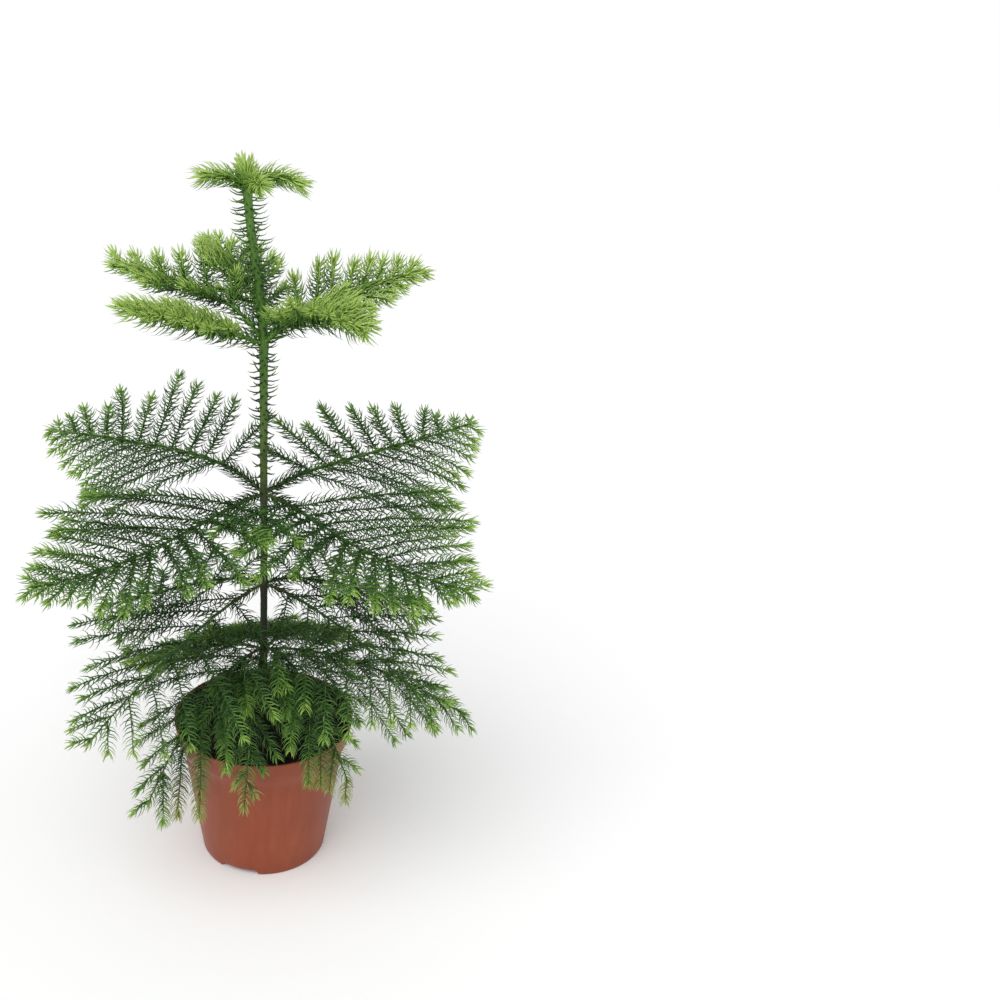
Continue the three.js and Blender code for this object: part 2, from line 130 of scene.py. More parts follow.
def buildStudio():
    bpy.ops.object.select_all(action="DESELECT")
    bpy.ops.object.camera_add(location=studio["cameraPlace"])
    camera = bpy.context.object
    turn = Matrix.Rotation(-math.radians(studio["lookRightDeg"]), 3, "Z")
    turn = turn @ Matrix.Rotation(math.radians(90 - studio["lookDownDeg"]), 3, "X")
    turn = turn @ Matrix.Rotation(math.radians(studio["rollDeg"]), 3, "Z")
    camera.rotation_euler = turn.to_euler()
    camera.data.lens = studio["lens"]
    camera.data.shift_x = studio["shiftX"]
    camera.data.clip_end = studio["clipEnd"]
    bpy.context.scene.camera = camera

    bpy.ops.object.light_add(type="SUN", location=studio["keyFrom"])  # far and wide: an even, soft key
    key = bpy.context.object
    key.name = "keyLight"
    key.data.energy = studio["keyStrength"]
    key.data.angle = math.radians(studio["keySoftnessDeg"])
    key.rotation_euler = (-Vector(studio["keyFrom"])).to_track_quat("-Z", "Y").to_euler()
    bpy.ops.object.light_add(type="AREA", location=studio["fillFrom"])
    fill = bpy.context.object
    fill.name = "fillLight"
    fill.data.size = studio["fillSize"]
    fill.data.energy = studio["fillWatts"]
    aim = Vector((0, 0, studio["fillAimHeight"])) - Vector(studio["fillFrom"])
    fill.rotation_euler = aim.to_track_quat("-Z", "Y").to_euler()

    world = bpy.data.worlds.new("softDaylight")
    world.use_nodes = True
    sky = world.node_tree.nodes["Background"]
    sky.inputs["Color"].default_value = linear(studio["worldColour"])
    sky.inputs["Strength"].default_value = studio["worldStrength"]
    bpy.context.scene.world = world
    bpy.context.scene.view_settings.view_transform = "Standard"

    bpy.ops.mesh.primitive_plane_add(size=studio["floorSize"])
    floor = bpy.context.object
    floor.name = "floor"
    paper, shader = startMaterial("studioPaper", studio["floorRoughness"])
    shader.inputs["Base Color"].default_value = linear(studio["floorColour"])
    floor.data.materials.append(paper)
    print("studio ready")


# Materials of pot, soil and bark

def mouldedPolypropylene():
    # Polypropylene moulded in terracotta colour: satin, evenly coloured, with faint flow streaks
    # down the wall and a paler, scuffed look where the light grazes it.
    material, shader = startMaterial("mouldedPolypropylene", roughness=0.45, ior=1.49)
    shader.inputs["Specular IOR Level"].default_value = 0.32
    place = addNode(material, "ShaderNodeTexCoord").outputs["Object"]
    flow = addNode(material, "ShaderNodeMapping", {"Scale": (1, 1, 0.12)}, {"Vector": place})
    streaks = addNode(material, "ShaderNodeTexNoise", {"Scale": 140.0, "Detail": 4.0, "Roughness": 0.6},
                      {"Vector": flow.outputs[0]})
    cloud = addNode(material, "ShaderNodeTexNoise", {"Scale": 28.0, "Detail": 3.0}, {"Vector": place})
    tint = addNode(material, "ShaderNodeMix", {"data_type": "FLOAT", 0: 0.45},
                   {2: streaks.outputs[0], 3: cloud.outputs[0]})
    ramp = addNode(material, "ShaderNodeValToRGB", {}, {"Fac": tint.outputs[0]})
    setStops(ramp, ((0.35, "#823B21"), (0.5, "#894025"), (0.66, "#91482C")))
    # On the inner side of the band, above the soil, the wall is painted dark: painted shade, for the shade
    # that falls inside the pot under the rim and the foliage. wall is the radius of the band's middle at
    # each
    # height: what is nearer to the axis is its inner side.
    split = addNode(material, "ShaderNodeSeparateXYZ", {}, {"Vector": place})
    level = addNode(material, "ShaderNodeCombineXYZ", {}, {"X": split.outputs[0], "Y": split.outputs[1]})
    radius = addNode(material, "ShaderNodeVectorMath", {"operation": "LENGTH"}, {0: level.outputs[0]})
    slope = (pot["rimRadius"] - pot["bandRadius"]) / pot["bandHeight"]
    middle = (pot["rimRadius"] - slope * pot["height"] - pot["wall"] / 2) * mm
    wall = addNode(material, "ShaderNodeMath", {"operation": "MULTIPLY_ADD", 1: slope, 2: middle},
                   {0: split.outputs[2]})
    inside = addNode(material, "ShaderNodeMath", {"operation": "LESS_THAN"},
                     {0: radius.outputs["Value"], 1: wall.outputs[0]})
    paintedShadeTop, paintedShadeFull = [(pot["height"] - below) * mm for below in pot["paintedShadeBelowRim"]]
    belowRim = addNode(material, "ShaderNodeMapRange", {"From Min": paintedShadeTop, "From Max": paintedShadeFull},
                       {"Value": split.outputs[2]})
    bandFoot = (pot["height"] - pot["bandHeight"]) * mm
    band = addNode(material, "ShaderNodeMath", {"operation": "GREATER_THAN", 1: bandFoot},
                   {0: split.outputs[2]})
    paintedShade = inside
    for mask in (belowRim, band):
        paintedShade = addNode(material, "ShaderNodeMath", {"operation": "MULTIPLY"},
                        {0: paintedShade.outputs[0], 1: mask.outputs[0]})
    coloured = addNode(material, "ShaderNodeMix", {"data_type": "RGBA", 7: linear(pot["paintedShadeColour"])},
                       {0: paintedShade.outputs[0], 6: ramp.outputs[0]})
    plug(material, coloured.outputs[2], shader, "Base Color")
    scuff = addNode(material, "ShaderNodeMapRange", {"To Min": 0.34, "To Max": 0.52},
                    {"Value": cloud.outputs[0]})
    plug(material, scuff.outputs[0], shader, "Roughness")
    grain = addNode(material, "ShaderNodeTexNoise", {"Scale": 900.0, "Detail": 2.0}, {"Vector": place})
    bump = addNode(material, "ShaderNodeBump", {"Strength": 0.06, "Distance": 0.0004},
                   {"Height": grain.outputs[0]})
    plug(material, bump.outputs[0], shader, "Normal")
    return material


def moistPeat():
    # Sphagnum peat potting mix, moist: nearly black, matt, with brown fibres.
    material, shader = startMaterial("moistPeat", roughness=0.95, ior=1.35)
    place = addNode(material, "ShaderNodeTexCoord").outputs["Object"]
    clods = addNode(material, "ShaderNodeTexNoise", {"Scale": 260.0, "Detail": 6.0, "Roughness": 0.7},
                    {"Vector": place})
    ramp = addNode(material, "ShaderNodeValToRGB", {}, {"Fac": clods.outputs[0]})
    setStops(ramp, ((0.35, "#0B0907"), (0.52, "#1B140F"), (0.72, "#3A2C20")))
    plug(material, ramp.outputs[0], shader, "Base Color")
    bump = addNode(material, "ShaderNodeBump", {"Strength": 0.8, "Distance": 0.0015},
                   {"Height": clods.outputs[0]})
    plug(material, bump.outputs[0], shader, "Normal")
    return material


def youngBark(name, stops, low, high):
    # Young conifer bark: thin, smooth and satin, green while it is new and brown as it ages, with
    # lengthwise wrinkles. stops colour it from the height low to the height high, in metres, and the
    # blotches move these colours up and down by a few centimetres.
    material, shader = startMaterial(name, roughness=0.55, ior=1.45)
    blotchShift = 0.05
    place = addNode(material, "ShaderNodeTexCoord").outputs["Object"]
    height = addNode(material, "ShaderNodeSeparateXYZ", {}, {"Vector": place}).outputs["Z"]
    blotch = addNode(material, "ShaderNodeTexNoise", {"Scale": 90.0, "Detail": 4.0}, {"Vector": place})
    shifted = addNode(material, "ShaderNodeMath", {"operation": "MULTIPLY_ADD", 1: blotchShift},
                      {0: blotch.outputs[0], 2: height})
    share = addNode(material, "ShaderNodeMapRange",
                    {"From Min": low + blotchShift / 2, "From Max": high + blotchShift / 2},
                    {"Value": shifted.outputs[0]})
    age = addNode(material, "ShaderNodeValToRGB", {}, {"Fac": share.outputs[0]})
    setStops(age, stops)
    fibre = addNode(material, "ShaderNodeMapping", {"Scale": (1, 1, 0.18)}, {"Vector": place})
    wrinkles = addNode(material, "ShaderNodeTexNoise", {"Scale": 1400.0, "Detail": 4.0},
                       {"Vector": fibre.outputs[0]})
    furrows = addNode(material, "ShaderNodeMapRange", {"To Min": 0.72, "To Max": 1.2},
                      {"Value": wrinkles.outputs[0]})
    tinted = addNode(material, "ShaderNodeMix", {"data_type": "RGBA", "blend_type": "MULTIPLY", 0: 1.0},
                     {6: age.outputs[0], 7: furrows.outputs[0]})
    plug(material, tinted.outputs[2], shader, "Base Color")
    bump = addNode(material, "ShaderNodeBump", {"Strength": 0.5, "Distance": 0.0003},
                   {"Height": wrinkles.outputs[0]})
    plug(material, bump.outputs[0], shader, "Normal")
    return material


def plainGreen(name, colour, roughness=0.5):
    # Waxy green shoot or needle: satin, each in one colour. What varies is which needle gets which.
    material, shader = startMaterial(name, roughness, ior=1.42)
    shader.inputs["Base Color"].default_value = linear(colour)
    return material


# Pot

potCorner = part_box("pot")[1]
pot = {
    "sides": 144,
    "height": potCorner.z / mm,
    "rimRadius": potCorner.x / mm,
    "bandRadius": 62.0,
    "waistRadius": 57.5,
    "footRadius": 45.0,
    "bandHeight": 12.0,
    "shoulder": 11.0,
    "wall": 1.5,
    "lip": 0.75,  # half the thickness of the rounded rim
    "lipTurnsDeg": (30, 60, 90, 120, 150),
    "footEdge": 1.0,
    "skirt": 2.4,  # width of the ring that it stands on
    "recess": 2.2,
    "floor": 4.0,
    "floorInset": 0.7,
    "firstRing": 6.0,  # height of the wall's lowest ring
    "outerRings": 26,
    "innerRings": 14,
    "notchAzimuths": (247, 67),
    "notchWidth": 27.0,
    "notchHeight": 3.0,
    "notchedBelow": 1.5,
    "sharpFromDeg": 40.0,
    # painted shade: the dark colour of the inner wall above the soil, and how far below the rim it starts
    # and is full
    "paintedShadeColour": "#1C120B",
    "paintedShadeBelowRim": (0.1, 2.0),  # where it starts and where it is full
}


def potWallRadius(height):
    bandFoot = pot["height"] - pot["bandHeight"]
    waist = bandFoot - pot["shoulder"]
    wall = pot["footRadius"] + (pot["waistRadius"] - pot["footRadius"]) * height / waist
    if height <= waist:
        return wall
    if height >= bandFoot:
        flare = pot["rimRadius"] - pot["bandRadius"]
        return pot["bandRadius"] + flare * (height - bandFoot) / pot["bandHeight"]
    q = (height - waist) / pot["shoulder"]  # between the two slopes the wall swells without a crease
    step = pot["bandRadius"] - pot["waistRadius"]
    wallRise = (pot["waistRadius"] - pot["footRadius"]) * pot["shoulder"] / waist
    bandRise = (pot["rimRadius"] - pot["bandRadius"]) * pot["shoulder"] / pot["bandHeight"]
    swell = step * q * q * (3 - 2 * q) + wallRise * q * (1 - q) ** 2 - bandRise * q * q * (1 - q)
    return pot["waistRadius"] + swell


def potOutline():  # radius and height, from the foot ring's inner edge over the rim to the floor inside
    foot, edge, lip = pot["footRadius"], pot["footEdge"], pot["lip"]
    lipHeight = pot["height"] - lip
    steps = [(foot - pot["skirt"], 0.0), (foot - edge, 0.0), (foot - 0.3 * edge, 0.3 * edge)]
    steps.append((potWallRadius(edge), edge))
    for z in np.linspace(pot["firstRing"], lipHeight, pot["outerRings"]):
        steps.append((potWallRadius(z), z))
    for turn in np.radians(pot["lipTurnsDeg"]):
        radius = pot["rimRadius"] - lip + lip * math.cos(turn)
        steps.append((radius, pot["height"] - lip * (1 - math.sin(turn))))
    for z in np.linspace(lipHeight, pot["floor"], pot["innerRings"]):
        steps.append((potWallRadius(z) - pot["wall"], z))
    return steps


def buildPot():
    outline = potOutline()
    radius, height = outline[0][0], pot["recess"]
    bpy.ops.object.select_all(action="DESELECT")
    bpy.ops.mesh.primitive_circle_add(vertices=pot["sides"], radius=radius * mm, fill_type="NGON",
                                      location=(0, 0, height * mm))
    shell = bpy.context.object
    bpy.ops.object.transform_apply()
    bpy.ops.object.mode_set(mode="EDIT")
    bpy.ops.mesh.select_mode(type="FACE")
    bpy.ops.mesh.select_all(action="SELECT")
    for nextRadius, nextHeight in outline:
        rise = Vector((0, 0, (nextHeight - height) * mm))
        bpy.ops.mesh.extrude_region_move(TRANSFORM_OT_translate={"value": rise})
        grow = nextRadius / radius
        bpy.ops.transform.resize(value=(grow, grow, 1), center_override=(0, 0, nextHeight * mm))
        radius, height = nextRadius, nextHeight
    bpy.ops.mesh.inset(thickness=radius * mm * pot["floorInset"])  # so that the floor shades flat
    bpy.ops.mesh.select_all(action="SELECT")
    bpy.ops.mesh.remove_doubles(threshold=0.00001)
    bpy.ops.mesh.normals_make_consistent(inside=False)
    bpy.ops.mesh.select_mode(type="VERT")
    halfNotch = 0.5 * pot["notchWidth"] / pot["footRadius"]  # as an angle
    for azimuth in pot["notchAzimuths"]:
        bpy.ops.mesh.select_all(action="DESELECT")
        bpy.ops.object.mode_set(mode="OBJECT")
        for vertex in shell.data.vertices:
            turn = math.atan2(vertex.co.y, vertex.co.x) - math.radians(azimuth)
            near = abs((turn + math.pi) % (2 * math.pi) - math.pi) < halfNotch
            vertex.select = near and vertex.co.z < pot["notchedBelow"] * mm
        bpy.ops.object.mode_set(mode="EDIT")
        bpy.ops.transform.translate(value=(0, 0, pot["notchHeight"] * mm))
    bpy.ops.object.mode_set(mode="OBJECT")
    bpy.ops.object.shade_smooth_by_angle(angle=math.radians(pot["sharpFromDeg"]))
    finishPiece(shell, "potShell", mouldedPolypropylene(), ["pot"])
    print("pot:", len(shell.data.polygons), "faces")


# Soil

soil = {
    "top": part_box("soil")[1].z / mm,
    "depth": 3.0,
    "gap": 0.25,  # to the pot's wall
    "taper": 2.0,  # how much smaller the radius is underneath
    "levelRim": 0.5,  # width of the edge that stays level
    "sides": 120,
    "rings": 30,
    "lumps": 2.2,  # height of the lumps
    "lumpSize": 11.0,
    "lumpDetail": 3,
    "lumpLevel": 0.6,  # the noise value that stays at the soil's level
    "crumbs": 1500,
    "crumbRadius": (0.5, 1.7),
    "crumbShrink": (0.5, 1.0),
    "crumbRoughness": (0.75, 1.2),
    "crumbMargin": 2.5,
    "crumbSink": 0.2,
    "bareShare": 0.004,  # the share of the area, round the stem, that has no crumbs
    "seed": 11,
}


def soilRelief(surface):
    texture = bpy.data.textures.new("peatLumps", "CLOUDS")
    texture.noise_scale = soil["lumpSize"] * mm
    texture.noise_depth = soil["lumpDetail"]
    displace = surface.modifiers.new("lumps", "DISPLACE")
    displace.texture = texture
    displace.texture_coords = "LOCAL"
    displace.direction = "Z"
    displace.strength = soil["lumps"] * mm
    displace.mid_level = soil["lumpLevel"]
    displace.vertex_group = "top"
    bpy.ops.object.modifier_apply(modifier="lumps")


def buildSoil():
    inner = potWallRadius(soil["top"]) - pot["wall"] - soil["gap"]
    under = inner - soil["taper"]
    bpy.ops.object.select_all(action="DESELECT")
    bpy.ops.mesh.primitive_circle_add(vertices=soil["sides"], radius=under * mm, fill_type="NGON",
                                      location=(0, 0, (soil["top"] - soil["depth"]) * mm))
    surface = bpy.context.object
    bpy.ops.object.transform_apply()
    bpy.ops.object.mode_set(mode="EDIT")
    bpy.ops.mesh.select_all(action="SELECT")
    bpy.ops.mesh.extrude_region_move(TRANSFORM_OT_translate={"value": (0, 0, soil["depth"] * mm)})
    grow = inner / under
    bpy.ops.transform.resize(value=(grow, grow, 1), center_override=(0, 0, soil["top"] * mm))
    for _ in range(soil["rings"]):
        bpy.ops.mesh.inset(thickness=inner * mm / (soil["rings"] + 1))
    bpy.ops.mesh.select_all(action="SELECT")
    bpy.ops.mesh.normals_make_consistent(inside=False)
    bpy.ops.object.mode_set(mode="OBJECT")
    top = surface.vertex_groups.new(name="top")
    free = [v.index for v in surface.data.vertices
            if v.co.z > (soil["top"] - 0.1) * mm and v.co.xy.length < (inner - soil["levelRim"]) * mm]
    top.add(free, 1.0, "REPLACE")
    soilRelief(surface)
    bpy.ops.object.shade_smooth()
    peat = moistPeat()
    finishPiece(surface, "pottingSoil", peat, ["soil"])

    # loose crumbs, one small lump copied and squashed
    random = np.random.default_rng(soil["seed"])
    bpy.ops.mesh.primitive_ico_sphere_add(subdivisions=1, radius=1)
    lump = bpy.context.object
    corners = np.array([v.co for v in lump.data.vertices])
    faces = np.array([p.vertices for p in lump.data.polygons])
    bpy.data.objects.remove(lump)
    count = soil["crumbs"]
    reach = (inner - soil["crumbMargin"]) * np.sqrt(random.uniform(soil["bareShare"], 1, count))
    turn = random.uniform(0, 2 * math.pi, count)
    size = random.uniform(*soil["crumbRadius"], (count, 1, 3))
    size = size * random.uniform(*soil["crumbShrink"], (count, 1, 1))
    rough = random.uniform(*soil["crumbRoughness"], (count, len(corners), 1))
    level = np.full(count, soil["top"] - soil["crumbSink"])
    middle = np.stack([reach * np.cos(turn), reach * np.sin(turn), level], -1)
    points = corners[None] * size * rough + middle[:, None]
    crumbs = meshPiece("soilCrumbs", points.reshape(-1, 3), repeated(faces, count, len(corners)))
    finishPiece(crumbs, "soilCrumbs", peat, ["soil"])
    print("soil:", len(surface.data.polygons), "faces and", count, "crumbs")


# Joined meshes from arrays

def repeated(faces, copies, corners):  # the faces of one shape, for each of its copies
    return (faces[None] + corners * np.arange(copies)[:, None, None]).reshape(-1, faces.shape[1])


def meshPiece(name, pointsMm, *faceSets):
    mesh = bpy.data.meshes.new(name)
    faces = [face for faceSet in faceSets for face in faceSet.tolist()]
    mesh.from_pydata((pointsMm * mm).tolist(), [], faces)
    mesh.polygons.foreach_set("use_smooth", np.ones(len(faces), bool))
    mesh.update()
    piece = bpy.data.objects.new(name, mesh)
    bpy.context.scene.collection.objects.link(piece)
    return piece


# How the plant grows, in millimetres and degrees. Whorl 1 is the top one. A branch is a stem with a
# row of side shoots, its sprays, on either side.

plant = {
    "soilTop": soil["top"],
    "trunkTop": 488.0,
    "top": 501.0,
    "leanStart": 385.0,
    "leanEnd": 490.0,
    "leanOffset": -10.0,
    "footRadius": 3.3,
    "lowerRadius": 2.5,
    "upperRadius": 2.8,
    "stoutFrom": 280.0,  # from this height, and over this distance, the trunk gets its upper radius
    "stoutOver": 100.0,
    "flareHeight": 14.0,
    "flareFall": 2.0,
    "nodeSwell": 1.0,
    "nodeSpread": 3.5,
    "liftSettle": 0.15,
    "seed": 20,
    "needleReach": 6.0,  # how far the last needles reach past a shoot's end
    "leaderNeedles": 7.0,  # and past the leader's
    "handOffset": 0.3,  # the sprays to the left start this part of a step further out
    "angleEase": 0.8,  # below 1 the sprays' angle changes faster near the trunk than near the tip
    "lengthVariety": 0.08,
    "angleVariety": 5.0,
    "tiltVariety": 7.0,
    "swayVariety": 0.07,
    "shrinkTo": (1, 0.85, 0.7, 0.55, 0.4),  # a spray that would hit something is tried shorter
    "shortestSpray": 4.0,
}
clearance = {  # how far the sprays keep from the soil, the pot and the trunk's axis
    "above": 1.5,
    "outside": 0.5,
    "wall": 2.5,
    "trunk": 4.5,
    "samples": 24,
    "rootSamples": 3,  # so many of them, next to the stem, don't count
}
whorlHeight = {1: 482.0, 2: 384.0, 3: 280.0, 4: 213.0, 5: 161.0}

# A habit is what the branches of a whorl share, and a branch may change any value of it.
# bare: part of the reach without sprays. start, last: where the first and the last spray stand.
# tipAngle, tipLength: a spray's angle and part of its length at the branch's tip. bend: how far
# sprays curve towards that tip. closed, open: the two sides. The open side looks into the wide
# space between two branches of the whorl, and openAt says whether that is the left (1) or the
# right (-1) one. Of a side: length and angle of its sprays, tilt up from the branch's plane, sag,
# first: part of the length at the start, longestAt: where they are longest, sprays: how many.

backHabit = dict(
    bare=0.16, start=0.18, last=0.93, tipAngle=46, tipLength=0.1, bend=0.06,
    closed=dict(length=88, angle=51, tilt=-12, sag=0.23, first=0.95, longestAt=0.25, sprays=11),
    open=dict(length=84, angle=112, tilt=20, sag=0.02, first=0.62, longestAt=0.4, sprays=11, fresh=0.6),
)
frontHabit = dict(
    bare=0.16, start=0.14, last=0.93, tipAngle=46, tipLength=0.12, bend=0.06,
    closed=dict(length=101, angle=46, tilt=32, sag=0.1, first=1.0, longestAt=0.25, sprays=12),
    open=dict(length=86, angle=104, tilt=10, sag=0.16, first=0.85, longestAt=0.35, sprays=14),
)
youngHabit = dict(
    bare=0.16, start=0.2, last=0.93, tipAngle=40, tipLength=0.25, bend=0.06,
    closed=dict(length=38, angle=62, tilt=12, sag=-0.05, first=0.8, longestAt=0.35, sprays=8),
    open=dict(length=38, angle=62, tilt=18, sag=-0.05, first=0.8, longestAt=0.35, sprays=8),
)
lowSide = dict(length=53, angle=62, tilt=6, sag=0.14, first=0.9, longestAt=0.25, sprays=7)
lowHabit = dict(bare=0.16, start=0.16, last=0.93, tipAngle=42, tipLength=0.1, bend=0.06,
                closed=lowSide, open=lowSide)
budHabit = dict(bare=0.0, start=0.2, last=0.9, tipAngle=40, tipLength=0.3, bend=0.0, closed={}, open={})

# reach: how far a branch's tip is from the trunk. lift: a quick rise next to the trunk. rise: height
# gained over the whole reach. bow: extra height at the middle. sweep: turn of the azimuth.
# Of its needles, or of a side's: tone: steps lighter or darker. fresh: how much more of the fresh
# green at the tips. dense: how many more. stretch: how much longer on the stem.

branches = [
    dict(whorl=1, name="left", azimuth=176, reach=33, rise=0, lift=4, bow=3, habit=budHabit),
    dict(whorl=1, name="right", azimuth=352, reach=39, rise=-5, lift=5, bow=5, habit=budHabit),
    dict(whorl=1, name="front", azimuth=288, reach=31, rise=1, lift=4, bow=2, habit=budHabit),
    dict(whorl=1, name="back", azimuth=95, reach=33, rise=5, lift=4, bow=2, habit=budHabit),

    dict(whorl=2, name="right", azimuth=15, reach=110, rise=35, lift=8, bow=4, habit=youngHabit,
         tone=-1.0, fresh=1.5, openAt=1, closed=dict(tilt=-8, sag=0.12),
         open=dict(length=38, angle=78, tilt=42, first=0.9, longestAt=0.3, sprays=9)),
    dict(whorl=2, name="back", azimuth=104, reach=90, rise=40, lift=9, bow=6, habit=youngHabit,
         tone=-1.7, fresh=1.7, sweep=14),
    dict(whorl=2, name="left", azimuth=157, reach=108, rise=18, lift=25, bow=0, habit=youngHabit,
         tone=-1.3, fresh=1.6, openAt=-1, closed=dict(length=44, tilt=4, sprays=6),
         open=dict(length=42, tilt=24, sprays=6)),
    dict(whorl=2, name="front_left", azimuth=208, reach=96, rise=34, lift=0, bow=3, habit=youngHabit,
         tone=0.7, stretch=1.45, closed=dict(tilt=4)),
    dict(whorl=2, name="front_right", azimuth=312, reach=93, rise=24, lift=3, bow=14, habit=youngHabit,
         tone=0.7, stretch=1.45, closed=dict(tilt=14)),

    dict(whorl=3, name="back_left", azimuth=149, reach=182, rise=-14, lift=25, bow=0, habit=backHabit,
         openAt=-1, closed=dict(length=80, sag=0.28, sprays=12),
         open=dict(length=72, angle=98, tilt=24, first=0.85, longestAt=0.5)),
    dict(whorl=3, name="back_right", azimuth=31, reach=184, rise=4, lift=14, bow=-3, habit=backHabit,
         openAt=1, open=dict(length=76, tilt=12, angle=104, first=0.7)),
    dict(whorl=3, name="front_left", azimuth=216, reach=165, rise=-46, lift=14, bow=-8, habit=frontHabit,
         sweep=-10, openAt=1),
    dict(whorl=3, name="front_right", azimuth=321, reach=155, rise=-50, lift=15, bow=-8, habit=frontHabit,
         sweep=10, openAt=-1),

    dict(whorl=4, name="back_left", azimuth=150, reach=145, rise=-72, lift=15, bow=0, habit=backHabit,
         openAt=-1, closed=dict(length=80, tilt=-14, sag=0.22, sprays=8),
         open=dict(length=56, tilt=12, sprays=8)),
    dict(whorl=4, name="back_right", azimuth=29, reach=145, rise=-70, lift=15, bow=0, habit=backHabit,
         openAt=1, closed=dict(length=80, tilt=-14, sag=0.22, sprays=8),
         open=dict(length=56, tilt=12, sprays=8)),
    # painted shade: the open sprays of the two front branches are a step darker (tone -0.3), as in the
    # canopy's shade
    dict(whorl=4, name="front_left", azimuth=208, reach=138, rise=-98, lift=6, bow=8, habit=frontHabit,
         openAt=1, closed=dict(length=108, tilt=12, first=0.95, sprays=9),
         open=dict(length=84, angle=100, tilt=-20, sag=0.2, first=0.85, sprays=8, tone=-0.3, fresh=1.5)),
    dict(whorl=4, name="front_right", azimuth=332, reach=136, rise=-76, lift=6, bow=8, habit=frontHabit,
         openAt=-1, closed=dict(length=100, tilt=12, first=0.95, sprays=9),
         open=dict(length=78, angle=68, tilt=-24, sag=0.2, first=0.85, sprays=8, tone=-0.3, fresh=1.5)),

    # painted light: the sprays of the three back branches are a step lighter (tone 1.0), lifting the shade
    # that the plant casts on them
    dict(whorl=5, name="back_left", azimuth=150, reach=125, rise=-55, lift=8, bow=4, habit=lowHabit,
         closed=dict(tone=1.0, sprays=9), open=dict(tone=1.0, sprays=9)),
    dict(whorl=5, name="back", azimuth=106, reach=104, rise=-50, lift=6, bow=6, habit=lowHabit,
         closed=dict(tone=1.0, sprays=8), open=dict(tone=1.0, sprays=8)),
    dict(whorl=5, name="back_right", azimuth=62, reach=122, rise=-52, lift=8, bow=4, habit=lowHabit,
         closed=dict(tone=1.0, sprays=9), open=dict(tone=1.0, sprays=9)),
    dict(whorl=5, name="front_left", azimuth=224, reach=114, rise=-90, lift=6, bow=22, habit=lowHabit,
         tipLength=0.2, openAt=1, closed=dict(length=68, angle=54, sag=0.24),
         open=dict(length=70, angle=52, sag=0.4, first=0.6, longestAt=0.45, sprays=6, dense=1.6)),
    # painted shade: the front branch's sprays are darker (tone -0.8), as in the shade over the pot's
    # opening
    dict(whorl=5, name="front", azimuth=262, reach=99, rise=-84, lift=6, bow=24, habit=lowHabit,
         dense=1.3, openAt=-1, closed=dict(length=50, angle=56, sag=0.34, tone=-0.8),
         open=dict(length=50, angle=56, sag=0.38, tone=-0.8)),
    dict(whorl=5, name="front_right", azimuth=304, reach=106, rise=-70, lift=6, bow=24, habit=lowHabit,
         tipLength=0.15, openAt=-1, closed=dict(length=60, angle=58, sag=0.14),
         open=dict(length=58, angle=38, sag=0.4, first=0.55, longestAt=0.5, dense=1.4)),
    dict(whorl=5, name="right", azimuth=350, reach=150, rise=-50, lift=6, bow=12, habit=lowHabit,
         tipLength=0.15, openAt=-1, closed=dict(length=52), open=dict(length=84, angle=42, sag=0.34)),
]


def unit(vectors):
    return vectors / np.linalg.norm(vectors, axis=-1, keepdims=True)


def trunkCentre(height):
    q = (np.asarray(height, float) - plant["leanStart"]) / (plant["leanEnd"] - plant["leanStart"])
    q = np.clip(q, 0, 1)
    shift = plant["leanOffset"] * q * q * (3 - 2 * q)
    return np.stack([shift, 0 * shift, height + 0 * shift], -1)


def trunkRadius(height):
    fall = math.exp(-plant["flareFall"] * (height - plant["soilTop"]) / plant["flareHeight"])
    flare = (plant["footRadius"] - plant["lowerRadius"]) * fall
    share = min(1, max(0, (height - plant["stoutFrom"]) / plant["stoutOver"]))
    stout = (plant["upperRadius"] - plant["lowerRadius"]) * share
    swell = sum(plant["nodeSwell"] * math.exp(-((height - level) / plant["nodeSpread"]) ** 2)
                for level in whorlHeight.values())
    return plant["lowerRadius"] + flare + stout + swell


def branchPoint(branch, t):
    t = np.asarray(t, float)
    azimuth = np.radians(branch["azimuth"] + branch.get("sweep", 0) * t * t)
    climb = branch["lift"] * (1 - np.exp(-t / plant["liftSettle"])) + branch["rise"] * t
    bow = branch["bow"] * 4 * t * (1 - t)
    out = branch["reach"] * t
    return trunkCentre(whorlHeight[branch["whorl"]]) + np.stack(
        [out * np.cos(azimuth), out * np.sin(azimuth), climb + bow], -1)


def frameOf(curve, t):  # the curve's own directions: along it, to its left and above it
    t = np.asarray(t, float)
    step = 1e-3
    along = unit(curve(t + step) - curve(t - step))
    steep = np.abs(along[..., 2:]) > 0.95  # nearly upright, where left has to come from elsewhere
    reference = np.where(steep, [1.0, 0.0, 0.0], [0.0, 0.0, 1.0])
    left = unit(np.cross(reference, along))
    return along, left, np.cross(along, left)


def sideOf(branch, hand):  # hand: 1 to the left of the branch, -1 to the right
    return branch["open"] if hand == branch.get("openAt") else branch["closed"]


def lengthShare(side, branch, t):
    if t < side["longestAt"]:
        q = max(0, (t - branch["start"]) / (side["longestAt"] - branch["start"]))
        return side["first"] + (1 - side["first"]) * q
    return 1 - (1 - branch["tipLength"]) * ((t - side["longestAt"]) / (1 - side["longestAt"]))


